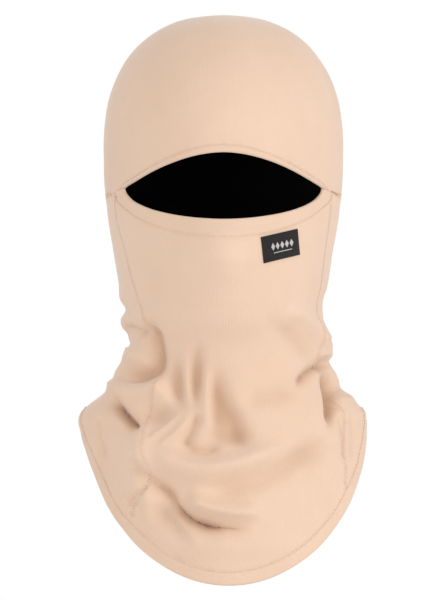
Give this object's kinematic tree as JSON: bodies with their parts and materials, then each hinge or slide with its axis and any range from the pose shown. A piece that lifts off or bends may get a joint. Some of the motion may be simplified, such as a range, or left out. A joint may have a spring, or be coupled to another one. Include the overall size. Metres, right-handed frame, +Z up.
{
  "type": "balaclava",
  "caption": "Close-fitting ski balaclava with a lens-shaped eye opening, a face mask that pulls down, and a rounded bib over neck and chest.",
  "frame": {"origin": "the point inside the crown of the hood that rests on the top of the wearer's head", "axes": "+Z up out of the crown, -Y the way the wearer looks, +X to the wearer's left"},
  "size_m": [0.1984, 0.2115, 0.3881],
  "materials": {
    "fleece": "brushed stretch fleece, matte",
    "lining": "black knit lining, matte",
    "thread": "polyester thread, satin",
    "tack_thread": "dense dark thread",
    "label": "woven damask label",
    "care_label": "printed satin tape"
  },
  "bodies": {
    "hood": {"hood_front_panel": "fleece", "hood_front_lining": "lining", "hood_back_right_panel": "fleece", "hood_back_right_lining": "lining", "hood_back_left_panel": "fleece", "hood_back_left_lining": "lining", "gaiter_front_panel": "fleece", "face_lining": "lining", "gaiter_back_right_panel": "fleece", "neck_right_lining": "lining", "gaiter_back_left_panel": "fleece", "neck_left_lining": "lining", "bottom_hem_front": "fleece", "bottom_hem_stitching_front": "thread", "bottom_hem_back": "fleece", "bottom_hem_stitching_back": "thread", "crown_seam": "thread", "hood_centre_back_seam": "thread", "gaiter_centre_back_seam": "thread", "temple_seam_right": "thread", "cheek_seam_right": "thread", "temple_seam_left": "thread", "cheek_seam_left": "thread", "bar_tack_right": "tack_thread", "bar_tack_left": "tack_thread", "care_label": "care_label"},
    "mask_edge": {"mask_hem": "fleece", "mask_hem_stitching": "thread", "woven_label": "label"},
    "brow_edge": {"brow_hem": "fleece", "brow_hem_stitching": "thread"}
  },
  "joints": [
    {"name": "mask_pull", "type": "hinge", "parent": "hood", "child": "mask_edge", "pos_m": [0, -0.035, -0.115], "axis": [1, 0, 0], "range_deg": [0, 20], "deforming": ["gaiter_front_panel", "face_lining"]},
    {"name": "brow_pull", "type": "hinge", "parent": "hood", "child": "brow_edge", "pos_m": [0, -0.035, -0.115], "axis": [1, 0, 0], "range_deg": [-14, 0], "deforming": ["hood_front_panel", "hood_front_lining"]}
  ]
}
